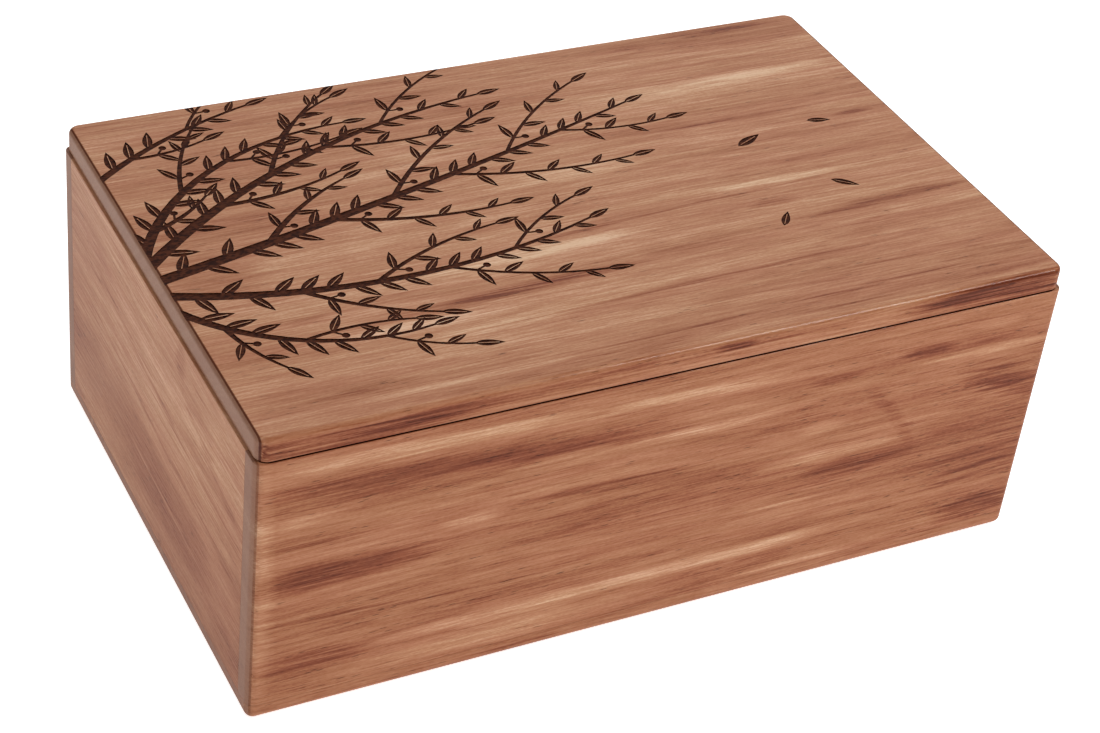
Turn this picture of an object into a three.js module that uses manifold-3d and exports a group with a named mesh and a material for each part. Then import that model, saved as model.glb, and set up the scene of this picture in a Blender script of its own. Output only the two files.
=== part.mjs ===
// A wooden cremation urn box: a base board, four wall boards glued with butt joints, and a flat lid that
// lifts off. Olive sprays are burnt into the lid's top face as shallow grooves.
// Millimetres. X runs along the front from left to right, +Y points to the back and +Z up.
// The origin is at the middle of the footprint, on the surface that the box stands on.
import * as THREE from "three";
import { mergeVertices } from "three/addons/utils/BufferGeometryUtils.js";
import Module from "manifold-3d";

// The box outside, 11 x 7 x 4 1/4 inches
const LENGTH = 279.4;
const DEPTH = 177.8;
const HEIGHT = 107.95;

// The boards
const WALL = 8;
const BASE = 6;
const LID = 8;
const GLUE_LINE = 0.1;
const LID_SEAM = 0.3;
const LID_INSET_ENDS = 0.8; // the lid stops this far short of the end boards' outer faces
const LID_INSET_LONG = 0.3; // and of the front and back boards' faces
const TONGUE_DROP = 3; // the tongue under the lid, which sits inside the walls
const TONGUE_PLAY = 0.6;

// The rounding of the edges
const BOX_CORNER = 3;
const FOOT_ROUND = 3;
const RIM_ROUND = 0.3;
const LID_CORNER = 4;
const TONGUE_CORNER = 1;
const TONGUE_ROUND = 0.5;
const LEAST_CORNER = 0.2;
const LID_TOP_ROUND = 1.8;
const LID_UNDER_ROUND = 0.3;
const CORNER_STEPS = 5; // straight steps in each quarter round of an outline
const ROUND_STEPS = 4; // and in each quarter round of an edge

// The burnt olive sprays
const BURN_DEPTH = 0.4;
const STEM_TIP_WIDTH = 0.9;
const STEM_STEP = 24; // length of stem that one straight step stands for
const LEAF_LENGTH = 12;
const LEAF_SPACING = 8;
const LEAF_RATIO = 0.32; // a leaf's width over its length
const LEAF_CORNERS = [0.3, 0.62]; // where along a leaf its outline has a corner on each side
const LEAF_FULLNESS = [0.93, 0.88]; // and its width there, as a share of the widest
const TIP_LEAF_SHARE = 0.65; // the leaves at a stem's tip are this much of the first one's length
const END_LEAF_SHARE = 0.8; // and so is the leaf that the stem ends in
const SIDE_LEAF_SHARE = 0.86; // a side spray's leaves against those on the main stem
const LEAF_SPREAD = { base: 52, tip: 34 }; // degrees between a leaf and its stem

// A side spray stands on every third leaf place along the middle of a main stem
const SIDE_SPRAYS = { every: 3, from: 0.12, to: 0.86, turn: 36, bend: 26 };
const SIDE_SPRAY_LENGTH = { least: 14, share: 0.27 };
const SIDE_SPRAY_WIDTH = { least: 1.2, tip: 0.6, share: 0.5 };

// Each main spray starts at the lid's left edge: how far towards the back, its heading and the bend along
// it in degrees anticlockwise seen from above, its length, its width at the start, and its first leaf's side
const MAIN_SPRAYS = [
  { y: 6, heading: 66, bend: -66, length: 112, width: 3.8, side: 1 },
  { y: 2, heading: 43, bend: -36, length: 158, width: 4.4, side: -1 },
  { y: -6, heading: 13, bend: 6, length: 196, width: 4.8, side: 1 },
  { y: -14, heading: -20, bend: 40, length: 146, width: 4.2, side: -1 },
  { y: -22, heading: -56, bend: 66, length: 82, width: 3.4, side: 1 },
  { y: 52, heading: 38, bend: -22, length: 70, width: 2.8, side: 1 },
];
const LOOSE_LEAVES = [
  { x: 72, y: 10, heading: 24, length: 12 },
  { x: 92, y: -18, heading: -38, length: 10 },
  { x: 62, y: -38, heading: 52, length: 9 },
  { x: 104, y: 18, heading: -12, length: 9 },
];

// How far a cutting shape runs past the face that it cuts
const CLEAR = 1;

// Heights that follow from the sizes above
const WALL_FOOT = BASE + GLUE_LINE;
const LID_FOOT = HEIGHT - LID;
const WALL_TOP = LID_FOOT - LID_SEAM;

const { degToRad, lerp } = THREE.MathUtils;
const wasm = await Module();
wasm.setup();

// A closed geometry as a solid that can be joined and cut
function solidFrom(geometry) {
  const bare = geometry.clone();
  bare.deleteAttribute("normal");
  bare.deleteAttribute("uv");
  const merged = mergeVertices(bare, 1e-4);
  return new wasm.Manifold(
    new wasm.Mesh({
      numProp: 3,
      vertProperties: merged.attributes.position.array,
      triVerts: new Uint32Array(merged.index.array),
    }),
  );
}

function geometryFrom(solid) {
  const mesh = solid.getMesh();
  const geometry = new THREE.BufferGeometry();
  geometry.setAttribute("position", new THREE.BufferAttribute(mesh.vertProperties, mesh.numProp));
  geometry.setIndex(new THREE.BufferAttribute(mesh.triVerts, 1));
  geometry.computeVertexNormals();
  return geometry;
}

function blockBetween(low, high) {
  const block = new THREE.BoxGeometry(high[0] - low[0], high[1] - low[1], high[2] - low[2]);
  block.translate((low[0] + high[0]) / 2, (low[1] + high[1]) / 2, (low[2] + high[2]) / 2);
  return solidFrom(block);
}

// A rectangle with round corners, anticlockwise, centred on the origin
function roundedRectangle(length, depth, radius) {
  const corners = [[1, 1], [-1, 1], [-1, -1], [1, -1]];
  return corners.flatMap(([sideX, sideY], quarter) =>
    Array.from({ length: CORNER_STEPS + 1 }, (_, step) => {
      const angle = ((quarter + step / CORNER_STEPS) * Math.PI) / 2;
      return [
        sideX * (length / 2 - radius) + radius * Math.cos(angle),
        sideY * (depth / 2 - radius) + radius * Math.sin(angle),
      ];
    }),
  );
}

// The rows of a slab from bottom to top: how far each stands in from the widest outline, and its height
function edgeRows(height, underRound, topRound) {
  const quarterRound = (radius) =>
    Array.from({ length: radius ? ROUND_STEPS + 1 : 1 }, (_, row) => {
      const angle = ((row / ROUND_STEPS) * Math.PI) / 2;
      return { inset: radius * (1 - Math.sin(angle)), rise: radius * (1 - Math.cos(angle)) };
    });
  return [
    ...quarterRound(underRound).map(({ inset, rise }) => ({ inset, z: rise })),
    ...quarterRound(topRound).reverse().map(({ inset, rise }) => ({ inset, z: height - rise })),
  ];
}

// A flat board with round corners, its under and top edges rounded, standing on z = 0
function roundedSlab({ length, depth, height, corner, underRound = 0, topRound = 0 }) {
  const rows = edgeRows(height, underRound, topRound);
  const outlines = rows.map(({ inset }) =>
    roundedRectangle(length - 2 * inset, depth - 2 * inset, Math.max(corner - inset, LEAST_CORNER)),
  );
  const around = outlines[0].length;
  const positions = outlines.flatMap((outline, row) => outline.flatMap(([x, y]) => [x, y, rows[row].z]));
  const faces = [];
  for (let row = 0; row + 1 < rows.length; row++) {
    for (let k = 0; k < around; k++) {
      const a = row * around + k;
      const b = row * around + ((k + 1) % around);
      faces.push(a, b, b + around, a, b + around, a + around);
    }
  }
  const topRow = (rows.length - 1) * around;
  for (let k = 1; k + 1 < around; k++) {
    faces.push(0, k + 1, k);
    faces.push(topRow, topRow + k, topRow + k + 1);
  }
  const slab = new THREE.BufferGeometry();
  slab.setAttribute("position", new THREE.Float32BufferAttribute(positions, 3));
  slab.setIndex(faces);
  return solidFrom(slab);
}

// The outline of a stem that bends evenly along its length, and the place and heading of any point on it
function bentStem({ x, y, heading, bend, length, width }) {
  const steps = Math.max(3, Math.ceil(length / STEM_STEP));
  const stations = [{ x, y, heading }];
  for (let step = 0; step < steps; step++) {
    const last = stations[step];
    const middle = heading + (bend * (step + 0.5)) / steps;
    stations.push({
      x: last.x + (Math.cos(middle) * length) / steps,
      y: last.y + (Math.sin(middle) * length) / steps,
      heading: heading + (bend * (step + 1)) / steps,
    });
  }
  const side = (sign) =>
    stations.map((station, step) => {
      const half = lerp(width, STEM_TIP_WIDTH, step / steps) / 2;
      return new THREE.Vector2(
        station.x - sign * Math.sin(station.heading) * half,
        station.y + sign * Math.cos(station.heading) * half,
      );
    });
  const stationAt = (share) => {
    const step = Math.min(Math.floor(share * steps), steps - 1);
    const part = share * steps - step;
    const [from, to] = [stations[step], stations[step + 1]];
    return {
      x: lerp(from.x, to.x, part),
      y: lerp(from.y, to.y, part),
      heading: lerp(from.heading, to.heading, part),
    };
  };
  return { outline: [...side(-1), ...side(1).reverse()], stationAt };
}

// A pointed leaf that starts at x, y and lies along its heading
function leafOutline({ x, y, heading, length }) {
  const half = (length * LEAF_RATIO) / 2;
  const below = LEAF_CORNERS.map((at, k) => [at * length, -half * LEAF_FULLNESS[k]]);
  const above = LEAF_CORNERS.map((at, k) => [at * length, half * LEAF_FULLNESS[k]]).reverse();
  return [[0, 0], ...below, [length, 0], ...above].map(([along, across]) =>
    new THREE.Vector2(along, across).rotateAround(new THREE.Vector2(), heading).add(new THREE.Vector2(x, y)),
  );
}

// The spray that branches off a main stem at a place on it, to the side that turn gives
function sideSprayAt(at, share, turn, { length, width }) {
  const { least, tip, share: stemShare } = SIDE_SPRAY_WIDTH;
  return {
    x: at.x,
    y: at.y,
    heading: at.heading + turn * degToRad(SIDE_SPRAYS.turn),
    bend: -turn * degToRad(SIDE_SPRAYS.bend),
    length: SIDE_SPRAY_LENGTH.least + SIDE_SPRAY_LENGTH.share * length * Math.sin(Math.PI * (1 - share)),
    width: Math.max(least, tip + stemShare * width * (1 - share)),
    side: turn,
  };
}

// The outlines of one spray: its stem, its leaves by turns on either side, and the side sprays on it
function sprayOutlines(spray, isSideSpray = false) {
  const { length, side } = spray;
  const stem = bentStem(spray);
  const outlines = [stem.outline];
  const firstLeaf = LEAF_LENGTH * (isSideSpray ? SIDE_LEAF_SHARE : 1);
  const places = Math.floor(length / LEAF_SPACING);
  for (let place = 1; place < places; place++) {
    const share = place / places;
    const at = stem.stationAt(share);
    const turn = place % 2 ? side : -side;
    const onMiddle = share > SIDE_SPRAYS.from && share < SIDE_SPRAYS.to;
    const branches = !isSideSpray && onMiddle && place % SIDE_SPRAYS.every === SIDE_SPRAYS.every - 1;
    if (branches) outlines.push(...sprayOutlines(sideSprayAt(at, share, turn, spray), true));
    const leafTurn = branches ? -turn : turn;
    const spread = degToRad(lerp(LEAF_SPREAD.base, LEAF_SPREAD.tip, share));
    const heading = at.heading + leafTurn * spread;
    outlines.push(leafOutline({ ...at, heading, length: firstLeaf * lerp(1, TIP_LEAF_SHARE, share) }));
  }
  const tip = stem.stationAt(1 - STEM_TIP_WIDTH / length);
  outlines.push(leafOutline({ ...tip, length: LEAF_LENGTH * END_LEAF_SHARE }));
  return outlines;
}

// All the burnt grooves as one cutter, from the bottom of the burn to well above the lid's top face
function burnCutter(topFace) {
  const lidLeft = LID_INSET_ENDS - LENGTH / 2;
  const sprays = MAIN_SPRAYS.flatMap(({ y, heading, bend, ...rest }) =>
    sprayOutlines({ x: lidLeft - CLEAR, y, heading: degToRad(heading), bend: degToRad(bend), ...rest }),
  );
  const loose = LOOSE_LEAVES.map((leaf) => leafOutline({ ...leaf, heading: degToRad(leaf.heading) }));
  const grooves = [...sprays, ...loose].map((outline) => {
    const groove = new THREE.ExtrudeGeometry(new THREE.Shape(outline), {
      depth: BURN_DEPTH + CLEAR,
      bevelEnabled: false,
    });
    groove.translate(0, 0, topFace - BURN_DEPTH);
    return solidFrom(groove);
  });
  return grooves.reduce((all, groove) => all.add(groove));
}

// The lid board, with its underside on z = 0 and the tongue hanging below that
function lidGeometry() {
  const plate = roundedSlab({
    length: LENGTH - 2 * LID_INSET_ENDS,
    depth: DEPTH - 2 * LID_INSET_LONG,
    height: LID,
    corner: LID_CORNER,
    underRound: LID_UNDER_ROUND,
    topRound: LID_TOP_ROUND,
  });
  const tongue = roundedSlab({
    length: LENGTH - 2 * (WALL + TONGUE_PLAY),
    depth: DEPTH - 2 * (WALL + TONGUE_PLAY),
    height: TONGUE_DROP + LID / 2,
    corner: TONGUE_CORNER,
    underRound: TONGUE_ROUND,
  }).translate([0, 0, -TONGUE_DROP]);
  return geometryFrom(plate.add(tongue).subtract(burnCutter(LID)));
}

// The walls before they are parted: one block with round upright corners and an eased top edge
function wallBlock() {
  return roundedSlab({
    length: LENGTH,
    depth: DEPTH,
    height: WALL_TOP - WALL_FOOT,
    corner: BOX_CORNER,
    topRound: RIM_ROUND,
  });
}

// The front wall, whose ends reach the outer faces of the end boards
function longBoardGeometry() {
  const outer = -DEPTH / 2;
  const low = [-LENGTH, outer - CLEAR, -CLEAR];
  const high = [LENGTH, outer + WALL, HEIGHT];
  return geometryFrom(wallBlock().intersect(blockBetween(low, high)));
}

// The left wall, between the front and back walls
function endBoardGeometry() {
  const outer = -LENGTH / 2;
  const reach = DEPTH / 2 - WALL - GLUE_LINE;
  const low = [outer - CLEAR, -reach, -CLEAR];
  const high = [outer + WALL, reach, HEIGHT];
  return geometryFrom(wallBlock().intersect(blockBetween(low, high)));
}

function baseGeometry() {
  return geometryFrom(
    roundedSlab({
      length: LENGTH,
      depth: DEPTH,
      height: BASE,
      corner: BOX_CORNER,
      underRound: FOOT_ROUND,
    }),
  );
}

// Reddish brown straight-grained hardwood under a satin lacquer
function lacqueredWood(color) {
  return new THREE.MeshStandardMaterial({ color, roughness: 0.45, metalness: 0, flatShading: true });
}

function board(name, geometry, material, { z = 0, halfTurn = false } = {}) {
  const mesh = new THREE.Mesh(geometry, material);
  mesh.name = name;
  mesh.position.z = z;
  mesh.rotation.z = halfTurn ? Math.PI : 0;
  return mesh;
}

const topWood = lacqueredWood(0xb5866a);
const sideWood = lacqueredWood(0xa76b4c);
const endWood = lacqueredWood(0x9c7462);

const walls = new THREE.Group();
walls.position.z = WALL_FOOT;
const longBoard = longBoardGeometry();
const endBoard = endBoardGeometry();
walls.add(
  board("front_board", longBoard, sideWood),
  board("back_board", longBoard, sideWood, { halfTurn: true }),
  board("left_end_board", endBoard, endWood),
  board("right_end_board", endBoard, endWood, { halfTurn: true }),
);

const urnBox = new THREE.Group();
urnBox.add(
  board("base_board", baseGeometry(), sideWood),
  walls,
  board("lid", lidGeometry(), topWood, { z: LID_FOOT }),
);

export default urnBox;
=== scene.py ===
# A wooden urn box with a lid that lifts off: boards of streaky brown hardwood, glued with butt joints and
# given a satin lacquer, and olive sprays burnt into the lid.
# Metres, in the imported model's frame: +X to the right along the front, +Y to the back, +Z up.
import math
import random

import bmesh
import bpy
from mathutils import Matrix, Quaternion, Vector


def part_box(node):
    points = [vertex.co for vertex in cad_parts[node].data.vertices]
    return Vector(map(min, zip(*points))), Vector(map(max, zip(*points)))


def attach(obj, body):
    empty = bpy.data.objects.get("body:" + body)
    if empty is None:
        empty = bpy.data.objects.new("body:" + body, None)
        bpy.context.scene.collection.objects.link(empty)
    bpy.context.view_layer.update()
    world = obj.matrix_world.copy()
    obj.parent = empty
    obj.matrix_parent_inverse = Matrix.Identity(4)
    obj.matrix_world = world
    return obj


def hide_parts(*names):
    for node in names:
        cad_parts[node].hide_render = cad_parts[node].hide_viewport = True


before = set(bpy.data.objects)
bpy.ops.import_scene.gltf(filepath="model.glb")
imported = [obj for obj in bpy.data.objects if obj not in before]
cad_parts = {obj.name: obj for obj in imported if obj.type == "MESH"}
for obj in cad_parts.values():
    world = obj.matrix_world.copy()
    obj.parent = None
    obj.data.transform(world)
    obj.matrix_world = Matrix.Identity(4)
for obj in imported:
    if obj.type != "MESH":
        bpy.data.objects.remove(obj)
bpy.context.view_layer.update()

MM = 0.001
NEAR = 0.01 * MM  # two places closer than this are the same one


# The camera, at the photograph's viewing angle

CAMERA_AIM = Vector((-8.1, -19.0, 54.0)) * MM
CAMERA_DISTANCE = 824.5 * MM
CAMERA_TURN = -30.27  # degrees round the box, from straight in front towards its left side
CAMERA_RISE = 36.18  # and above the horizon
CAMERA_ROLL = 6.93
CAMERA_LENS = 81.3
SENSOR_WIDTH = 36.0


def direction(turn, rise):
    """The direction from the box towards a place round it and above the horizon, both in degrees."""
    a = math.radians(turn)
    e = math.radians(rise)
    return Vector((math.sin(a) * math.cos(e), -math.cos(a) * math.cos(e), math.sin(e)))


def add_camera():
    back = direction(CAMERA_TURN, CAMERA_RISE)
    level = (-back).to_track_quat("-Z", "Y")
    rolled = level @ Quaternion((0, 0, 1), math.radians(CAMERA_ROLL))
    place = CAMERA_AIM + back * CAMERA_DISTANCE
    bpy.ops.object.camera_add(location=place, rotation=rolled.to_euler())
    camera = bpy.context.object
    camera.name = "camera"
    camera.data.sensor_width = SENSOR_WIDTH
    camera.data.lens = CAMERA_LENS
    bpy.context.scene.camera = camera


# The boards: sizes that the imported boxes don't give

LID_SEAM = 0.3 * MM  # the shadow gap under the lid
BOX_CORNER = 3.0 * MM
FOOT_ROUND = BOX_CORNER - 2 * NEAR  # a hair less, so that the two roundings don't pinch where they meet
RIM_ROUND = 0.3 * MM
LID_CORNER = 4.0 * MM
LID_TOP_ROUND = 1.8 * MM
LID_UNDER_ROUND = 0.3 * MM
TONGUE_PLAY = 0.6 * MM
TONGUE_CORNER = 1.0 * MM
TONGUE_ROUND = 0.5 * MM
LEAST_STEPS = 4  # in a rounding, and how many more for each millimetre of its radius
STEPS_PER_MM = 2
SMOOTH_UP_TO = 32.0  # degrees: a sharper edge stays an edge
FLAT_FACE_WEIGHT = 100


def deselect_all():
    if bpy.context.object and bpy.context.object.mode != "OBJECT":
        bpy.ops.object.mode_set(mode="OBJECT")
    bpy.ops.object.select_all(action="DESELECT")


def start_block(name, low, high):
    """A block between two corners, in edit mode."""
    deselect_all()
    bpy.ops.mesh.primitive_cube_add(size=1, location=(low + high) / 2, scale=high - low)
    block = bpy.context.object
    block.name = name
    block.data.name = name
    bpy.ops.object.transform_apply(location=True, rotation=True, scale=True)
    bpy.ops.object.mode_set(mode="EDIT")
    return block


def select(block, kind, wanted):
    """Selects only the edges or faces, whichever kind says, for whose corner places wanted is true."""
    bpy.ops.mesh.select_mode(type="EDGE" if kind == "edges" else "FACE")
    bpy.ops.mesh.select_all(action="DESELECT")
    mesh = bmesh.from_edit_mesh(block.data)
    for element in getattr(mesh, kind):
        if wanted([corner.co for corner in element.verts]):
            element.select_set(True)
    bmesh.update_edit_mesh(block.data)


def round_edges(block, wanted, radius):
    """Rounds the edges for whose corner places wanted is true, a wide rounding in more steps."""
    select(block, "edges", wanted)
    steps = round(LEAST_STEPS + STEPS_PER_MM * radius / MM)
    bpy.ops.mesh.bevel(offset=radius, offset_type="OFFSET", segments=steps, profile=0.5)


def all_at(corners, axis, place):
    return all(abs(corner[axis] - place) < NEAR for corner in corners)


def upright(corners):
    a, b = corners
    return abs(a.x - b.x) < NEAR and abs(a.y - b.y) < NEAR


def finish_board(board):
    """Smooths the rounded edges without bending the light on the flat faces."""
    deselect_all()
    board.select_set(True)
    bpy.context.view_layer.objects.active = board
    bpy.ops.object.shade_smooth_by_angle(angle=math.radians(SMOOTH_UP_TO))
    normals = board.modifiers.new("flat faces first", "WEIGHTED_NORMAL")
    normals.keep_sharp = True
    normals.weight = FLAT_FACE_WEIGHT
    bpy.ops.object.modifier_apply(modifier=normals.name)


def combine(board, tool, operation):
    """Joins the tool to the board or cuts it out of the board, and uses the tool up."""
    deselect_all()
    bpy.context.view_layer.objects.active = board
    cut = board.modifiers.new("joint", "BOOLEAN")
    cut.operation = operation
    cut.solver = "MANIFOLD"
    cut.object = tool
    bpy.ops.object.modifier_apply(modifier=cut.name)
    bpy.data.objects.remove(tool)


def on_corner(corners):
    """True for an upright edge at one of the box's four corners."""
    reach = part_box("base_board")[1]
    return all(abs(c.x) > reach.x - NEAR and abs(c.y) > reach.y - NEAR for c in corners)


def on_outline(corners):
    """True for an edge that runs along the box's outline, its round corners too."""
    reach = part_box("base_board")[1]
    middle = sum(corners, Vector()) / len(corners)
    in_corner = abs(middle.x) > reach.x - BOX_CORNER and abs(middle.y) > reach.y - BOX_CORNER
    return in_corner or abs(middle.x) > reach.x - NEAR or abs(middle.y) > reach.y - NEAR


def make_wall(name, node):
    """A wall board, rounded only where it meets the outline of the whole box."""
    low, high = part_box(node)
    wall = start_block(name, low, high)
    round_edges(wall, lambda corners: upright(corners) and on_corner(corners), BOX_CORNER)
    round_edges(wall, lambda corners: all_at(corners, 2, high.z) and on_outline(corners), RIM_ROUND)
    return wall


def make_base(name):
    low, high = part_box("base_board")
    block = start_block(name, low, high)
    round_edges(block, upright, BOX_CORNER)
    round_edges(block, lambda corners: all_at(corners, 2, low.z), FOOT_ROUND)
    return block


def make_lid(name):
    """The lid board, rounded all round, with the tongue that drops inside the walls."""
    low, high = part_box("lid")
    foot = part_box("front_board")[1].z + LID_SEAM
    plate = start_block(name, Vector((low.x, low.y, foot)), high)
    round_edges(plate, upright, LID_CORNER)
    round_edges(plate, lambda corners: all_at(corners, 2, foot), LID_UNDER_ROUND)
    round_edges(plate, lambda corners: all_at(corners, 2, high.z), LID_TOP_ROUND)

    inside = Vector((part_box("right_end_board")[0].x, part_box("back_board")[0].y, 0))
    reach = inside - Vector((TONGUE_PLAY, TONGUE_PLAY, 0))
    tongue_low = Vector((-reach.x, -reach.y, low.z))
    tongue_high = Vector((reach.x, reach.y, (foot + high.z) / 2))
    tongue = start_block("tongue", tongue_low, tongue_high)
    round_edges(tongue, upright, TONGUE_CORNER)
    round_edges(tongue, lambda corners: all_at(corners, 2, low.z), TONGUE_ROUND)
    combine(plate, tongue, "UNION")
    return plate


# The olive sprays burnt into the lid: millimetres from its middle, and degrees anticlockwise from above

BURN_DEPTH = 0.4
BURN_CLEAR = 1.0  # how far a cutting shape runs past the faces that it cuts
STEM_TIP_WIDTH = 0.9
STEM_STEPS = 16
LEAF_LENGTH = 12.0
LEAF_SPACING = 8.0
LEAF_RATIO = 0.32  # a leaf's width over its length
LEAF_STEPS = 8
LEAF_SWELL = 0.8  # below 1 puts a leaf's widest place nearer to its stem
MIDRIB_WIDTH = 0.024  # the unburnt line along a leaf, and its two ends, as shares of the leaf's length
MIDRIB_FROM = 0.12
MIDRIB_TO = 0.8
TIP_LEAF_SHARE = 0.65  # the length of the leaves near a stem's tip, as a share of those at its foot
END_LEAF_SHARE = 0.8  # and of the leaf that ends a stem, as a share of a whole leaf
SIDE_LEAF_SHARE = 0.86  # and of the leaves on a side spray
LEAF_SPREAD_BASE = 52.0  # degrees between a leaf and its stem, at the stem's foot and at its tip
LEAF_SPREAD_TIP = 34.0
BRANCH_EVERY = 3  # a side spray stands on every third leaf place along the middle of a main stem
BRANCH_FROM = 0.12
BRANCH_TO = 0.86
BRANCH_TURN = 36.0
BRANCH_BEND = 26.0
BRANCH_LENGTH = 14.0
BRANCH_SWELL = 0.27  # how much longer a side spray is halfway along the main stem, as a share of that stem
BRANCH_WIDTH = 0.6
BRANCH_THICKENS = 0.5  # and how much wider towards the main stem's foot
BRANCH_THINNEST = 1.2
OLIVE_RADIUS = 1.3
OLIVE_STALK = 4.5
OLIVE_STALK_WIDTH = 0.8
OLIVE_SIDES = 16
GROOVE_WALL_RISE = 0.01  # the most that the normal of a groove's wall may point up or down

# Each main spray: how far it starts towards the back, its heading, its bend, length, width and first side
MAIN_SPRAYS = (
    (6, 66, -66, 112, 3.8, 1),
    (2, 43, -36, 158, 4.4, -1),
    (-6, 13, 6, 196, 4.8, 1),
    (-14, -20, 40, 146, 4.2, -1),
    (-22, -56, 66, 82, 3.4, 1),
    (52, 38, -22, 70, 2.8, 1),
)
LOOSE_LEAVES = ((72, 10, 24, 12), (92, -18, -38, 10), (62, -38, 52, 9), (104, 18, -12, 9))


def blend(a, b, share):
    return a + (b - a) * share


def step_from(place, heading, along, across=0.0):
    """The place that lies so far along a heading and to its left."""
    x = place[0] + along * math.cos(heading) - across * math.sin(heading)
    y = place[1] + along * math.sin(heading) + across * math.cos(heading)
    return x, y


def stem_stations(start, heading, bend, length):
    """Even steps along a stem that bends evenly: the place and the heading at each."""
    stations = [(start, heading)]
    for step in range(STEM_STEPS):
        middle = heading + bend * (step + 0.5) / STEM_STEPS
        place = step_from(stations[-1][0], middle, length / STEM_STEPS)
        stations.append((place, heading + bend * (step + 1) / STEM_STEPS))
    return stations


def station_at(stations, share):
    step = min(int(share * STEM_STEPS), STEM_STEPS - 1)
    part = share * STEM_STEPS - step
    (place, heading), (next_place, next_heading) = stations[step : step + 2]
    between = tuple(blend(a, b, part) for a, b in zip(place, next_place))
    return between, blend(heading, next_heading, part)


def stem_outline(stations, width):
    """Both sides of a stem that narrows evenly to its tip."""
    sides = {}
    for sign in (1, -1):
        sides[sign] = [
            step_from(place, heading, 0, sign * blend(width, STEM_TIP_WIDTH, step / STEM_STEPS) / 2)
            for step, (place, heading) in enumerate(stations)
        ]
    return sides[-1] + sides[1][::-1]


def leaf_outlines():
    """A leaf 1 long from its foot at the origin, and the slot in it that stays unburnt along its midrib."""
    shares = [step / LEAF_STEPS for step in range(LEAF_STEPS + 1)]
    upper = [(u, LEAF_RATIO / 2 * math.sin(math.pi * u**LEAF_SWELL)) for u in shares]
    lower = [(u, -half) for u, half in upper[1:-1]]
    midrib = [
        (MIDRIB_FROM, -MIDRIB_WIDTH / 2),
        (MIDRIB_TO, -MIDRIB_WIDTH / 2),
        (MIDRIB_TO, MIDRIB_WIDTH / 2),
        (MIDRIB_FROM, MIDRIB_WIDTH / 2),
    ]
    return lower + upper[::-1], midrib


def circle_outline(middle, radius):
    turns = [2 * math.pi * side / OLIVE_SIDES for side in range(OLIVE_SIDES)]
    return [step_from(middle, turn, radius) for turn in turns]


def cutting_slab(name, *outlines):
    """A slab from the floor of the burn to well above the lid. An outline inside another is a hole."""
    shape = bpy.data.curves.new(name, "CURVE")
    shape.dimensions = "2D"
    shape.fill_mode = "BOTH"
    shape.extrude = (BURN_DEPTH + BURN_CLEAR) / 2
    for outline in outlines:
        line = shape.splines.new("POLY")
        line.points.add(len(outline) - 1)
        line.use_cyclic_u = True
        for point, (x, y) in zip(line.points, outline):
            point.co = (x, y, 0, 1)
    deselect_all()
    slab = bpy.data.objects.new(name, shape)
    bpy.context.scene.collection.objects.link(slab)
    slab.select_set(True)
    bpy.context.view_layer.objects.active = slab
    bpy.ops.object.convert(target="MESH")
    bpy.ops.object.mode_set(mode="EDIT")
    bpy.ops.mesh.select_all(action="SELECT")
    bpy.ops.mesh.remove_doubles(threshold=NEAR)
    bpy.ops.mesh.normals_make_consistent(inside=False)
    bpy.ops.object.mode_set(mode="OBJECT")
    return slab


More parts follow.
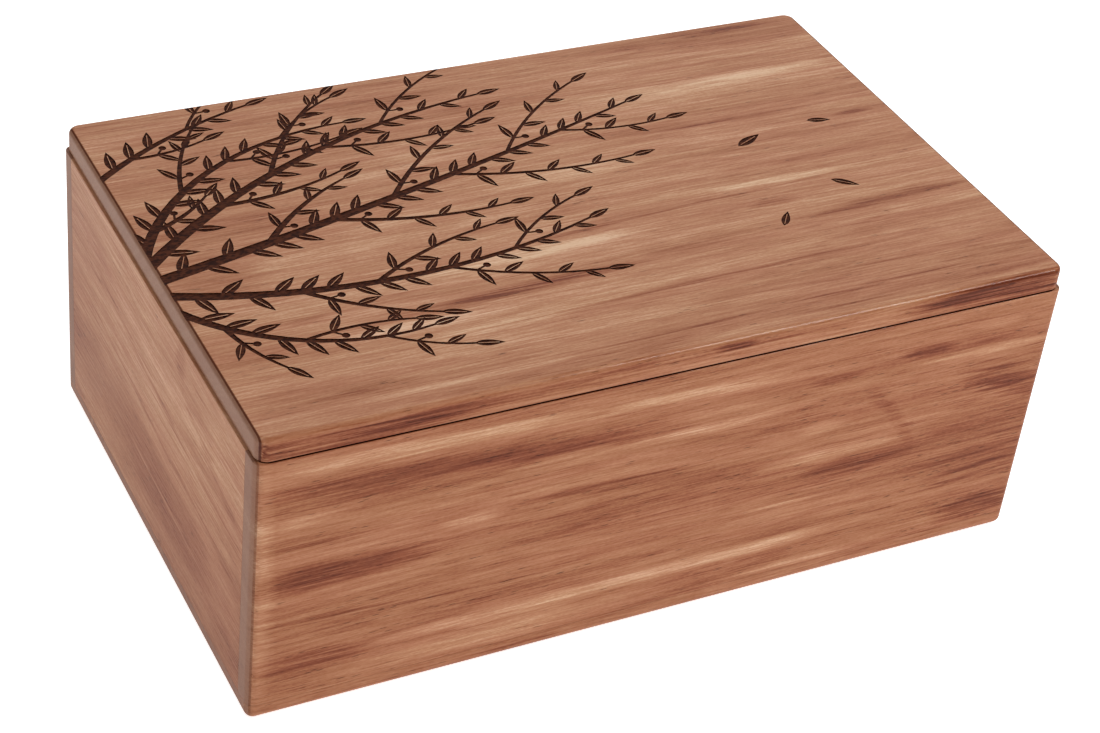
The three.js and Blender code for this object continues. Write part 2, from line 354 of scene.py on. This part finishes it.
class Engraving:
    """Collects the slabs that cut the sprays into the lid."""

    def __init__(self):
        self.leaf = cutting_slab("leaf", *leaf_outlines())
        self.slabs = []

    def add_leaf(self, foot, heading, length):
        leaf = self.leaf.copy()
        leaf.data = self.leaf.data.copy()
        bpy.context.scene.collection.objects.link(leaf)
        leaf.data.transform(
            Matrix.Translation((*foot, 0))
            @ Matrix.Rotation(heading, 4, "Z")
            @ Matrix.Diagonal((length, length, 1, 1))
        )
        self.slabs.append(leaf)

    def add_olive(self, place, heading):
        end = step_from(place, heading, OLIVE_STALK)
        half = OLIVE_STALK_WIDTH / 2
        stalk = [
            step_from(place, heading, 0, -half),
            step_from(end, heading, 0, -half),
            step_from(end, heading, 0, half),
            step_from(place, heading, 0, half),
        ]
        self.slabs.append(cutting_slab("olive stalk", stalk))
        self.slabs.append(cutting_slab("olive", circle_outline(end, OLIVE_RADIUS)))

    def add_spray(self, start, heading, bend, length, width, side, on_main_stem=True):
        stations = stem_stations(start, heading, bend, length)
        self.slabs.append(cutting_slab("stem", stem_outline(stations, width)))
        first_leaf = LEAF_LENGTH * (1 if on_main_stem else SIDE_LEAF_SHARE)
        places = int(length // LEAF_SPACING)
        for number in range(1, places):
            share = number / places
            place, along = station_at(stations, share)
            turn = side if number % 2 else -side
            branches = (
                on_main_stem
                and BRANCH_FROM < share < BRANCH_TO
                and number % BRANCH_EVERY == BRANCH_EVERY - 1
            )
            if branches:
                self.add_side_spray(place, along, share, turn, length, width)
            leaf_turn = -turn if branches else turn
            spread = math.radians(blend(LEAF_SPREAD_BASE, LEAF_SPREAD_TIP, share))
            self.add_leaf(place, along + leaf_turn * spread, first_leaf * blend(1, TIP_LEAF_SHARE, share))
            if number == 1 and not on_main_stem:
                self.add_olive(place, along - turn * spread)
        tip, along = station_at(stations, 1 - STEM_TIP_WIDTH / length)
        self.add_leaf(tip, along, LEAF_LENGTH * END_LEAF_SHARE)

    def add_side_spray(self, place, along, share, turn, main_length, main_width):
        self.add_spray(
            start=place,
            heading=along + turn * math.radians(BRANCH_TURN),
            bend=-turn * math.radians(BRANCH_BEND),
            length=BRANCH_LENGTH + BRANCH_SWELL * main_length * math.sin(math.pi * (1 - share)),
            width=max(BRANCH_THINNEST, BRANCH_WIDTH + BRANCH_THICKENS * main_width * (1 - share)),
            side=turn,
            on_main_stem=False,
        )

    def cutter(self, top):
        """All the slabs as one solid, in its place in the lid's top face."""
        first, *others = self.slabs
        rest = bpy.data.collections.new("slabs to join")
        bpy.context.scene.collection.children.link(rest)
        for slab in others:
            rest.objects.link(slab)
        deselect_all()
        bpy.context.view_layer.objects.active = first
        joint = first.modifiers.new("joint", "BOOLEAN")
        joint.operation = "UNION"
        joint.solver = "MANIFOLD"
        joint.operand_type = "COLLECTION"
        joint.collection = rest
        bpy.ops.object.modifier_apply(modifier=joint.name)
        for slab in (*others, self.leaf):
            bpy.data.objects.remove(slab)
        bpy.data.collections.remove(rest)
        middle = top / MM - BURN_DEPTH + (BURN_DEPTH + BURN_CLEAR) / 2
        first.data.transform(Matrix.Scale(MM, 4) @ Matrix.Translation((0, 0, middle)))
        return first


def burn_sprays(lid, wood, burnt):
    """Cuts the sprays into the lid, and gives the floor and the walls of each groove the burnt finish."""
    low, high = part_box("lid")
    engraving = Engraving()
    for y, heading, bend, length, width, side in MAIN_SPRAYS:
        start = (low.x / MM - BURN_CLEAR, y)
        engraving.add_spray(start, math.radians(heading), math.radians(bend), length, width, side)
    for x, y, heading, length in LOOSE_LEAVES:
        engraving.add_leaf((x, y), math.radians(heading), length)
    combine(lid, engraving.cutter(high.z), "DIFFERENCE")

    lid.data.materials.clear()
    lid.data.materials.append(wood)
    lid.data.materials.append(burnt)
    floor = high.z - BURN_DEPTH * MM
    corners = lid.data.vertices
    for face in lid.data.polygons:
        heights = [corners[corner].co.z for corner in face.vertices]
        flat_floor = max(heights) < floor + NEAR and min(heights) > floor - NEAR
        groove_wall = min(heights) > floor - NEAR and abs(face.normal.z) < GROOVE_WALL_RISE
        face.material_index = 1 if flat_floor or groove_wall else 0


# Materials


def linear(hex_colour):
    """An sRGB colour such as "#b5866a" as the linear RGBA that a socket takes."""
    channels = [int(hex_colour[at : at + 2], 16) / 255 for at in (1, 3, 5)]
    return [c / 12.92 if c <= 0.04045 else ((c + 0.055) / 1.055) ** 2.4 for c in channels] + [1.0]


def add(tree, kind, *values, output=0, sockets=None, **settings):
    """Adds a shader node with its settings, and gives one of its outputs.
    Values fill its inputs in order, and sockets by name. An output given as a value is linked."""
    node = tree.nodes.new("ShaderNode" + kind)
    for setting, value in settings.items():
        setattr(node, setting, value)
    for where, value in [*enumerate(values), *(sockets or {}).items()]:
        if isinstance(value, bpy.types.NodeSocket):
            tree.links.new(value, node.inputs[where])
        else:
            node.inputs[where].default_value = value
    return node.outputs[output] if node.outputs else None


# The wood's colours from its darkest streaks to its palest
WOOD_TONES = (
    (0.0, "#572717"),
    (0.18, "#703823"),
    (0.34, "#874c32"),
    (0.5, "#9c6546"),
    (0.62, "#a87253"),
    (0.74, "#b38160"),
    (0.88, "#c69a79"),
    (1.0, "#d6b292"),
)
ROSY = "#fff0fa"
PORE = "#38180d"
END_GRAIN = "#836151"
ARRIS = "#4a1f12"
CHAR = ("#2a110a", "#4d2717")
WHITE = (1, 1, 1, 1)

# In what follows, limits are the values of a noise between which something fades in, and where four stand
# together, the last two are the strengths at those values. Lengths and widths are in millimetres.

# The bands and fibres along the grain: how long and wide each kind is, and how strong. The wood's own fibres
# are finer than a pixel, so the finest kinds here are as coarse as they need to be to show
GRAIN = (
    (210, 17, 0.05),
    (150, 8, 0.035),
    (100, 3.8, 0.03),
    (55, 1.9, 0.04),
    (24, 0.95, 0.045),
    (10, 0.5, 0.045),
    (1.6, 0.4, 0.035),
)
GRAIN_EDGE = 0.13  # how far noise strays from its middle before a band is at its full strength
FINE_GRAIN = 1.0  # narrower kinds run straight

# How noise moves a pattern: the length and width of its patches, and how far it may move a place along the
# grain, across it and into the board, half of that either way
WANDERING = (130, 45, (0, 14, 6))
FIBROUS = (60, 1.6, (0, 1.6, 0))
RAGGED = (80, 2.2, (40, 3, 0))
SLIGHTLY_RAGGED = (30, 1.5, (9, 1.5, 0))

# Thin dark fibres, which stand in patches
DARK_FIBRES = (24, 0.6)
DARK_FIBRE_LIMITS = (0.56, 0.68, 0.0, -0.16)
FIBRE_PATCHES = (60, 5)
FIBRE_PATCH_LIMITS = (0.4, 0.6, 0.0, 1.0)

# The listed streaks. A dark one is made of threads
SHORT_STREAK = 13.0  # half a streak's length, up to which its ends are less ragged
STREAK_CORE = 1.8  # a streak's fade is multiplied by this and cut off at 1, which gives it an even core
WHOLE_DEPTH = (0, 1000)
THREADS = (40, 1.0)
THREAD_LIMITS = (0.36, 0.64, 0.4, 1.3)

ROSY_BANDS = (90, 5)
ROSY_LIMITS = (0.42, 0.62, 0.0, 0.3)

# Pores: each is the middle of a cell that is about so long and wide
PORE_CELL = (7.0, 0.6)
PORE_EDGE = (0.12, 0.27, 1.0, 0.0)
PORE_PATCHES = (26, 3.0)
PORES_BY_TONE = -0.5  # paler wood shows fewer of them
PORE_PATCH_LIMITS = (0.25, 0.42, 0.08, 0.9)

# The end grain starts so far in from a board's ends, because it still shows on a rounded edge. By the depth
# inside that start, it fades out over the first range, and the arris beside it fades in and then out again
END_GRAIN_DEPTH = 0.8
END_GRAIN_EDGE = (-0.1, 0.1)
ARRIS_EDGE = (-0.15, 0.05)
ARRIS_END = (0.4, 0.7, 1.0, 0.0)

# The satin lacquer, and the fine relief of fibres and pores under it
SATIN = (0.2, 0.8, 0.42, 0.34)  # a dark and a pale tone, and the roughness of each
RELIEF_FIBRES = (12, 0.6)
PORE_RELIEF = -0.4
RELIEF_STRENGTH = 0.2
RELIEF_HEIGHT = 0.03
COAT_WEIGHT = 0.25
COAT_ROUGHNESS = 0.1

# The charred wood
MOTTLE = (1.6, 0.8)
MOTTLE_LIMITS = (0.38, 0.62, 0.0, 1.0)
CHAR_ROUGHNESS = 0.8
CHAR_IOR = 1.2  # char takes the light in, so it hardly shines
CHAR_RELIEF_STRENGTH = 0.4
CHAR_RELIEF_HEIGHT = 0.1

# The seam under the lid, where painted shade darkens the wood in the gap: its height, the places along and
# across the box inside which the shade is painted, and the curve that they follow round a corner. Its middle
# stands above the box, so that height doesn't count
SEAM_HEIGHT = (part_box("front_board")[1].z + LID_SEAM / 2) / MM
SEAM_INSET = 0.3  # at the lid's ends, where a ledge shows below it
SEAM_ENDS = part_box("lid")[1].x / MM - SEAM_INSET
SEAM_SIDES = -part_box("front_board")[0].y / MM
SEAM_TURN = LID_CORNER / MM
SEAM_CORNER = (SEAM_ENDS - SEAM_TURN, SEAM_SIDES - SEAM_TURN, SEAM_HEIGHT * 2)
# The painted shade's reddish edge and its black middle: between which two depths each grows to its full
# strength, and up to how far above or below that height it has its full strength, and still shows
SEAM_SHADE_COLOURS = (
    ("#5a2413", 0.05, 0.3, 0.3, 0.6),
    ("#170a07", 0.3, 0.45, 0.2, 0.3),
)

# A Mix node's two colour inputs and its colour output
MIX_A = 6
MIX_B = 7
MIXED = 2


def drawn_noise(tree, place, length, width, seed, detail=2.0, output="Fac"):
    """Noise drawn out along the grain, its patches about so long and wide in millimetres."""
    stretch = (1 / length, 1 / width, 1 / width)
    apart = (seed, seed * 2.7, -seed)
    scaled = add(tree, "VectorMath", place, stretch, apart, operation="MULTIPLY_ADD")
    return add(tree, "TexNoise", scaled, output=output, sockets={"Scale": 1.0, "Detail": detail})


def shifted(tree, place, length, width, by, seed, detail=2.0):
    """The place moved by noise, by up to about half of each size in by, either way."""
    noise = drawn_noise(tree, place, length, width, seed, detail, output="Color")
    centred = add(tree, "VectorMath", noise, (0.5, 0.5, 0.5), operation="SUBTRACT")
    return add(tree, "VectorMath", centred, by, place, operation="MULTIPLY_ADD")


def lacquered_wood(name, board):
    """Acacia, planed and sanded, under a rubbed satin lacquer. It gives the eye long brown and tan streaks,
    fine straight fibres, short dark pores, darker end grain, a soft sheen, and painted shade in the seam
    under the lid."""
    material = bpy.data.materials.new(name)
    material.use_nodes = True
    tree = material.node_tree
    tree.nodes.clear()
    seed = board["seed"]  # each noise adds a number of its own to it

    # The board's own place in millimetres: along the grain, up its face, and out of its face
    own_frame = {
        "Location": board["start"],
        "Rotation": [math.radians(turn) for turn in board["turn"]],
        "Scale": (1 / MM, 1 / MM, 1 / MM),
    }
    place = add(tree, "Mapping", add(tree, "TexCoord", output="Object"), sockets=own_frame)

    # Growth rings round the pith, which wander along the board
    wandering = shifted(tree, place, *WANDERING, seed, detail=1)
    from_pith = add(tree, "VectorMath", wandering, (0, *board["pith"]), operation="SUBTRACT")
    across_grain = add(tree, "VectorMath", from_pith, (0, 1, 1), operation="MULTIPLY")
    ring = add(tree, "VectorMath", across_grain, operation="LENGTH", output="Value")
    along = add(tree, "SeparateXYZ", place)
    rings = add(tree, "CombineXYZ", along, ring, 0.0)
    fibrous = shifted(tree, rings, *FIBROUS, seed + 3, detail=3)

    # The tone is the sum of bands and fibres of each size, and of the listed streaks
    tone = board["tone"]
    for number, (length, width, strength) in enumerate(GRAIN):
        pattern = fibrous if width > FINE_GRAIN else place
        band = drawn_noise(tree, pattern, length, width, seed + 5 + number, 1)
        limits = (0.5 - GRAIN_EDGE, 0.5 + GRAIN_EDGE, -strength, strength)
        band = add(tree, "MapRange", band, *limits, interpolation_type="SMOOTHSTEP")
        tone = add(tree, "Math", band, tone, operation="ADD")
    fibre = drawn_noise(tree, place, *DARK_FIBRES, seed + 12, 1)
    fibre = add(tree, "MapRange", fibre, *DARK_FIBRE_LIMITS, interpolation_type="SMOOTHSTEP")
    patch = drawn_noise(tree, fibrous, *FIBRE_PATCHES, seed + 14, 2)
    patch = add(tree, "MapRange", patch, *FIBRE_PATCH_LIMITS, interpolation_type="SMOOTHSTEP")
    tone = add(tree, "Math", fibre, patch, tone, operation="MULTIPLY_ADD")

    ragged = shifted(tree, place, *RAGGED, seed + 13, detail=3)
    slightly_ragged = shifted(tree, place, *SLIGHTLY_RAGGED, seed + 13, detail=2)
    dark_streaks = 0.0
    for middle_along, middle_up, half_length, half_width, slope, strength, *depth in board["streaks"]:
        middle_depth, half_depth = depth or WHOLE_DEPTH
        reach = {
            "Location": (middle_along, middle_up, middle_depth),
            "Rotation": (0, 0, math.radians(slope)),
            "Scale": (half_length, half_width, half_depth),
        }
        edge = ragged if half_length > SHORT_STREAK else slightly_ragged
        within = add(tree, "Mapping", edge, vector_type="TEXTURE", sockets=reach)
        fade = add(tree, "TexGradient", within, output="Fac", gradient_type="SPHERICAL")
        fade = add(tree, "Math", fade, STREAK_CORE, operation="MULTIPLY", use_clamp=True)
        if strength > 0:
            tone = add(tree, "Math", fade, strength, tone, operation="MULTIPLY_ADD")
        else:
            dark_streaks = add(tree, "Math", fade, strength, dark_streaks, operation="MULTIPLY_ADD")
    threads = drawn_noise(tree, place, *THREADS, seed + 21, 2)
    threads = add(tree, "MapRange", threads, *THREAD_LIMITS)
    tone = add(tree, "Math", dark_streaks, threads, tone, operation="MULTIPLY_ADD")

    colours = add(tree, "ValToRGB", tone)
    ramp = colours.node.color_ramp
    for position, colour in WOOD_TONES[1:-1]:
        ramp.elements.new(position)
    for element, (position, colour) in zip(ramp.elements, WOOD_TONES):
        element.position = position
        element.color = linear(colour)

    # Some bands are rosier than others
    rosy = drawn_noise(tree, fibrous, *ROSY_BANDS, seed + 15, 2)
    rosy = add(tree, "MapRange", rosy, *ROSY_LIMITS)
    layers = [(rosy, ROSY, "MULTIPLY")]

    # Pores: short dark dashes along the grain, dots on the end grain, and more of them in the dark streaks
    length, width = PORE_CELL
    cells = add(tree, "VectorMath", place, (1 / length, 1 / width, 1 / width), operation="MULTIPLY")
    pores = add(tree, "TexVoronoi", cells, output="Distance", sockets={"Scale": 1.0})
    pores = add(tree, "MapRange", pores, *PORE_EDGE, interpolation_type="SMOOTHSTEP")
    patches = drawn_noise(tree, place, *PORE_PATCHES, seed + 17, 1)
    patches = add(tree, "Math", tone, PORES_BY_TONE, patches, operation="MULTIPLY_ADD")
    patches = add(tree, "MapRange", patches, *PORE_PATCH_LIMITS)
    layers.append((add(tree, "Math", pores, patches, operation="MULTIPLY"), PORE, "MIX"))

    # How far from the middle of the box a place lies
    box_place = add(tree, "TexCoord", output="Object")
    box_place = add(tree, "VectorMath", box_place, (1 / MM, 1 / MM, 1 / MM), operation="MULTIPLY")
    from_middle = add(tree, "VectorMath", box_place, operation="ABSOLUTE")

    # End grain drinks more stain and is darker; a thin darker line also runs along the arris where it begins
    from_end = add(tree, "VectorMath", from_middle, board["grain"], operation="DOT_PRODUCT", output="Value")
    from_end = add(tree, "Math", board["half_length"] - END_GRAIN_DEPTH, from_end, operation="SUBTRACT")
    end_grain = add(tree, "MapRange", from_end, *END_GRAIN_EDGE, board["end"], 0.0)
    layers.append((end_grain, END_GRAIN, "MIX"))
    arris = (*ARRIS_EDGE, 0.0, board["arris"])
    arris = add(tree, "MapRange", from_end, *arris, interpolation_type="SMOOTHSTEP")
    past = add(tree, "MapRange", from_end, *ARRIS_END, interpolation_type="SMOOTHSTEP")
    arris = add(tree, "Math", arris, past, operation="MULTIPLY")
    layers.append((arris, ARRIS, "MIX"))

    # Painted shade inside the seam under the lid, where the gap is in shadow: black in its middle, with a
    # reddish edge
    past_corner = add(tree, "VectorMath", from_middle, SEAM_CORNER, operation="SUBTRACT")
    past_corner = add(tree, "VectorMath", past_corner, (0, 0, 0), operation="MAXIMUM")
    past_corner = add(tree, "VectorMath", past_corner, operation="LENGTH", output="Value")
    depth = add(tree, "Math", SEAM_TURN, past_corner, operation="SUBTRACT")
    from_seam = add(tree, "SeparateXYZ", box_place, output="Z")
    from_seam = add(tree, "Math", from_seam, SEAM_HEIGHT, operation="SUBTRACT")
    from_seam = add(tree, "Math", from_seam, operation="ABSOLUTE")
    for colour, first_depth, full_depth, full_height, last_height in SEAM_SHADE_COLOURS:
        deep = add(tree, "MapRange", depth, first_depth, full_depth, 0.0, 1.0)
        near = add(tree, "MapRange", from_seam, full_height, last_height, 1.0, 0.0)
        layers.append((add(tree, "Math", deep, near, operation="MULTIPLY"), colour, "MIX"))

    for share, colour, blend_type in layers:
        layer = {0: share, MIX_A: colours, MIX_B: linear(colour)}
        colours = add(tree, "Mix", output=MIXED, data_type="RGBA", blend_type=blend_type, sockets=layer)

    relief = drawn_noise(tree, place, *RELIEF_FIBRES, seed + 19, 2)
    relief = add(tree, "Math", pores, PORE_RELIEF, relief, operation="MULTIPLY_ADD")
    relief = {"Height": relief, "Strength": RELIEF_STRENGTH, "Distance": RELIEF_HEIGHT * MM}
    finish = {
        "Base Color": colours,
        "Roughness": add(tree, "MapRange", tone, *SATIN),
        "Normal": add(tree, "Bump", sockets=relief),
        "Specular IOR Level": 0.0,
        "Coat Weight": COAT_WEIGHT,
        "Coat Roughness": COAT_ROUGHNESS,
    }
    add(tree, "OutputMaterial", add(tree, "BsdfPrincipled", sockets=finish))
    return material


def burnt_wood():
    """Acacia charred by a laser. It gives the eye a matt dark brown with blacker specks."""
    material = bpy.data.materials.new("laser burnt acacia")
    material.use_nodes = True
    tree = material.node_tree
    tree.nodes.clear()
    place = add(tree, "TexCoord", output="Object")
    place = add(tree, "VectorMath", place, (1 / MM, 1 / MM, 1 / MM), operation="MULTIPLY")
    mottle = drawn_noise(tree, place, *MOTTLE, 1.0, 2)
    darkest, palest = CHAR
    chars = {0: add(tree, "MapRange", mottle, *MOTTLE_LIMITS), MIX_A: linear(darkest), MIX_B: linear(palest)}
    relief = {"Height": mottle, "Strength": CHAR_RELIEF_STRENGTH, "Distance": CHAR_RELIEF_HEIGHT * MM}
    finish = {
        "Base Color": add(tree, "Mix", output=MIXED, data_type="RGBA", sockets=chars),
        "Roughness": CHAR_ROUGHNESS,
        "Normal": add(tree, "Bump", sockets=relief),
        "IOR": CHAR_IOR,
    }
    add(tree, "OutputMaterial", add(tree, "BsdfPrincipled", sockets=finish))
    return material


# Each streak: its middle along the board and up its face, half its length and width in millimetres, its slope
# in degrees, and how much lighter or darker than the board it is

FRONT_STREAKS = (
    (2, 50, 6, 60, 0, 0.16),
    (262, 50, 40, 30, 0, -0.06),
    (50, 94, 62, 3.2, -1, 0.26),
    (140, 90, 60, 3, -2, 0.2),
    (46, 85.5, 52, 4.6, -1, -0.14),
    (44, 87, 38, 2.2, 0, -0.05),
    (100, 81, 46, 4, -4, -0.2),
    (100, 76.5, 22, 1.8, 0, 0.2),
    (152, 75.5, 34, 2.4, 0, 0.24),
    (12, 76, 26, 3.4, 0, 0.1),
    (20, 67, 26, 3.4, 0, -0.18),
    (70, 60.5, 12, 2.6, 0, 0.2),
    (116, 61.5, 38, 2.8, -3, -0.24),
    (32, 53, 34, 6.5, -1, -0.24),
    (20, 55, 14, 3, 0, -0.12),
    (100, 46, 50, 3.2, -2, -0.16),
    (196, 52.5, 34, 3.4, 0, 0.3),
    (194, 64.5, 12, 2.8, 0, 0.15),
    (211, 45.5, 26, 3.6, -1, -0.28),
    (214, 71, 10, 3.4, -50, -0.1),
    (222, 62, 10, 3.2, -55, -0.1),
    (228, 53, 9, 3, -70, -0.08),
    (264, 67, 22, 8, -25, -0.28),
    (255, 81, 30, 2.2, 0, 0.26),
    (250, 95, 30, 2, 0, -0.12),
    (230, 86.5, 12, 3.2, 0, -0.2),
    (196, 83, 12, 2.6, 0, -0.16),
    (187, 35, 24, 1.2, 0, 0.24),
    (250, 36, 26, 1, 2, -0.14),
    (254, 31, 28, 1, 3, -0.18),
    (256, 26.5, 26, 1, 4, -0.18),
    (24, 36.5, 34, 0.9, -2, -0.22),
    (60, 33, 50, 0.8, -3, -0.18),
    (90, 27, 60, 3, 0, -0.1),
    (132, 19.5, 122, 3.4, 0, 0.32),
    (86, 11.5, 58, 5.5, 0, 0.17),
    (191, 8, 24, 2, 0, 0.2),
    (266, 12.5, 22, 6.5, 0, -0.36),
    (18, 19, 24, 6.5, 0, -0.2),
)

# The last four here lie in the lid's front edge: each has its depth under the top and half its height too
TOP_STREAKS = (
    (248, 173, 34, 4, 0, -0.26),
    (222, 139, 62, 5, 0, 0.16),
    (250, 142, 34, 3, 0, 0.1),
    (214, 115.5, 40, 1, 0, -0.22),
    (262, 107, 10, 1.6, 0, -0.24),
    (150, 100, 40, 5, 0, 0.1),
    (236, 100, 46, 2, 0, -0.12),
    (200, 90, 70, 5, 1, 0.1),
    (165, 70, 80, 0.9, 3, -0.26),
    (212, 76, 34, 2.6, 0, 0.2),
    (116, 62, 50, 3.6, 2, 0.2),
    (205, 63.5, 12, 1.8, 0, -0.24),
    (106, 45, 50, 3.6, 2, -0.36),
    (170, 50, 30, 2.6, 3, -0.22),
    (246, 55, 44, 3, 3, -0.26),
    (66, 37, 46, 4, 0, 0.26),
    (240, 40, 40, 3, 1, -0.12),
    (150, 31, 124, 1, 1.5, -0.26),
    (90, 29.5, 40, 3, 1, 0.16),
    (200, 22, 60, 4, 1, -0.1),
    (180, 11.5, 96, 1.1, 2, -0.24),
    (30, 14, 34, 8, 0, -0.14),
    (226, 5.5, 60, 3, 0, -0.16),
    (60, 8, 50, 1.6, 0, 0.12),
    (40, 158, 50, 10, 0, -0.14),
    (100, 162, 36, 8, 0, -0.14),
    (60, 125, 44, 8, 0, -0.1),
    (30, 104, 36, 7, 0, -0.16),
    (16, 80, 20, 14, 0, -0.18),
    (225, 16, 90, 18, 1, -0.12),
    (236, 160, 60, 18, 0, -0.08),
    (100, 0, 150, 4, 0, -0.22, -4, 4.5),
    (14, 0, 84, 4, 0, -0.32, -4.5, 5),
    (155, 0, 9, 4, 0, -0.3, -2.5, 2),
    (256, 0, 46, 4, 0, -0.6, -4, 6),
)

LEFT_STREAKS = (
    (90, 90, 190, 62, -4, 0.2),
    (40, 20, 60, 26, 4, 0.1),
    (116, 93, 5, 8, 0, -0.16),
    (132, 77, 16, 2.4, -22, -0.16),
    (156, 69, 16, 2.4, -18, -0.16),
    (60, 70, 34, 1.2, -9, -0.16),
    (105, 64, 30, 1.6, -7, -0.18),
    (150, 60, 26, 3, -6, -0.18),
    (80, 51, 44, 1.2, -5, -0.18),
    (135, 47, 40, 1.4, -6, -0.18),
    (100, 28, 50, 0.8, -3, 0.16),
    (90, 80, 60, 12, -6, 0.06),
    (150, 84, 14, 7, -20, 0.06),
)


# The least and the most for a streak that chance places: half its length, half its width, slope and strength
CHANCE_LENGTH = (25, 90)
CHANCE_WIDTH = (1.5, 6)
CHANCE_SLOPE = (-3, 3)
CHANCE_STRENGTH = (0.14, 0.32)


def chance_streaks(seed, length, height, count):
    """Streaks for a board that the photo doesn't show."""
    draw = random.Random(seed)
    return [
        (
            draw.uniform(0, length),
            draw.uniform(0, height),
            draw.uniform(*CHANCE_LENGTH),
            draw.uniform(*CHANCE_WIDTH),
            draw.uniform(*CHANCE_SLOPE),
            draw.choice((-1, 1)) * draw.uniform(*CHANCE_STRENGTH),
        )
        for _ in range(count)
    ]


ALONG_X = (1, 0, 0)
ALONG_Y = (0, 1, 0)
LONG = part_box("base_board")[1].x * 2 / MM
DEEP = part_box("base_board")[1].y * 2 / MM
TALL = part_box("lid")[1].z / MM
LID_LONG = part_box("lid")[1].x * 2 / MM
LID_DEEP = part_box("lid")[1].y * 2 / MM

# Each board: a place in the box is turned by these degrees, and then start is added, to give its place in the
# board. Then come the way its grain runs, the middle of its growth rings up its face and out of it, its seed,
# its tone, half its length along the grain, how strongly its arris and its end grain show, and its streaks
BOARDS = {
    "lid": dict(
        start=(LID_LONG / 2, LID_DEEP / 2, -TALL),
        turn=(0, 0, 0),
        grain=ALONG_X,
        pith=(-120, -190),
        seed=2.0,
        tone=0.69,
        half_length=LID_LONG / 2,
        arris=0.9,
        end=0.75,
        streaks=TOP_STREAKS,
    ),
    "front_wall": dict(
        start=(LONG / 2, 0, -DEEP / 2),
        turn=(-90, 0, 0),
        grain=ALONG_X,
        pith=(-90, -110),
        seed=11.0,
        tone=0.51,
        half_length=LONG / 2,
        arris=0.5,
        end=0.75,
        streaks=FRONT_STREAKS,
    ),
    "back_wall": dict(
        start=(LONG / 2, 0, -DEEP / 2),
        turn=(-90, 180, 0),
        grain=ALONG_X,
        pith=(60, -90),
        seed=23.0,
        tone=0.51,
        half_length=LONG / 2,
        arris=0.5,
        end=0.75,
        streaks=chance_streaks(5, LONG, TALL, 16),
    ),
    "left_end_wall": dict(
        start=(DEEP / 2, 0, -LONG / 2),
        turn=(-90, 90, 0),
        grain=ALONG_Y,
        pith=(30, -70),
        seed=31.0,
        tone=0.48,
        half_length=DEEP / 2,
        arris=0.0,
        end=0.0,
        streaks=LEFT_STREAKS,
    ),
    "right_end_wall": dict(
        start=(DEEP / 2, 0, -LONG / 2),
        turn=(-90, -90, 0),
        grain=ALONG_Y,
        pith=(40, -60),
        seed=43.0,
        tone=0.55,
        half_length=DEEP / 2,
        arris=0.0,
        end=0.0,
        streaks=chance_streaks(8, DEEP, TALL, 10),
    ),
    "bottom_panel": dict(
        start=(LONG / 2, DEEP / 2, 0),
        turn=(0, 0, 0),
        grain=ALONG_X,
        pith=(300, -150),
        seed=57.0,
        tone=0.5,
        half_length=LONG / 2,
        arris=0.4,
        end=0.6,
        streaks=chance_streaks(3, LONG, DEEP, 12),
    ),
}


# The pale floor, the soft white room and the lights

FLOOR_SIZE = 12.0
FLOOR_GLOW = 0.75
PAPER = "#f2f2f2"
PAPER_ROUGHNESS = 0.9
ROOM_LIGHT = 0.28
BACKDROP_GLOW = 1.0  # what the camera sees past the floor is as white as the floor
SOFTBOX_DISTANCE = 1.6

# Each softbox: the degrees to its middle round the box and above the horizon, its width in metres, its watts
SOFTBOXES = {
    "light from the front right": (48, 46, 0.5, 12.5),
    "light from behind": (150, 38, 1.4, 8.5),
    "light from the left": (-75, 60, 1.0, 5),
}


def add_floor():
    """Matt white paper, lit and glowing a little, so that it stays a plain near-white."""
    deselect_all()
    bpy.ops.mesh.primitive_plane_add(size=FLOOR_SIZE, location=(0, 0, 0))
    floor = bpy.context.object
    floor.name = "floor"
    material = bpy.data.materials.new("white paper")
    material.use_nodes = True
    surface = material.node_tree.nodes["Principled BSDF"]
    surface.inputs["Base Color"].default_value = linear(PAPER)
    surface.inputs["Roughness"].default_value = PAPER_ROUGHNESS
    surface.inputs["Emission Color"].default_value = WHITE
    surface.inputs["Emission Strength"].default_value = FLOOR_GLOW
    floor.data.materials.append(material)


def add_softbox(name, turn, rise, width, watts):
    """A square soft light that faces the middle of the box."""
    middle = Vector((0, 0, TALL * MM / 2))
    away = direction(turn, rise)
    deselect_all()
    bpy.ops.object.light_add(
        type="AREA",
        location=middle + away * SOFTBOX_DISTANCE,
        rotation=away.to_track_quat("Z", "Y").to_euler(),
    )
    light = bpy.context.object
    light.name = name
    light.data.shape = "SQUARE"
    light.data.size = width
    light.data.energy = watts


def add_studio():
    add_floor()
    room = bpy.data.worlds.new("white room")
    room.use_nodes = True
    backdrop = room.node_tree.nodes["Background"]
    backdrop.inputs["Color"].default_value = WHITE
    seen = add(room.node_tree, "LightPath", output="Is Camera Ray")
    strength = add(room.node_tree, "MapRange", seen, 0.0, 1.0, ROOM_LIGHT, BACKDROP_GLOW)
    room.node_tree.links.new(strength, backdrop.inputs["Strength"])
    bpy.context.scene.world = room
    bpy.context.scene.view_settings.view_transform = "Standard"
    for name, numbers in SOFTBOXES.items():
        add_softbox(name, *numbers)


add_camera()
add_studio()

lid = make_lid("lid_panel")
burn_sprays(lid, lacquered_wood("satin lacquered acacia, lid", BOARDS["lid"]), burnt_wood())

for made, node in (
    (lid, "lid"),
    (make_base("bottom_panel"), "base_board"),
    (make_wall("front_wall", "front_board"), "front_board"),
    (make_wall("back_wall", "back_board"), "back_board"),
    (make_wall("left_end_wall", "left_end_board"), "left_end_board"),
    (make_wall("right_end_wall", "right_end_board"), "right_end_board"),
):
    finish_board(made)
    if made is not lid:
        finish_name = "satin lacquered acacia, " + made.name.replace("_", " ")
        made.data.materials.append(lacquered_wood(finish_name, BOARDS[made.name]))
    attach(made, "root")
    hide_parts(node)
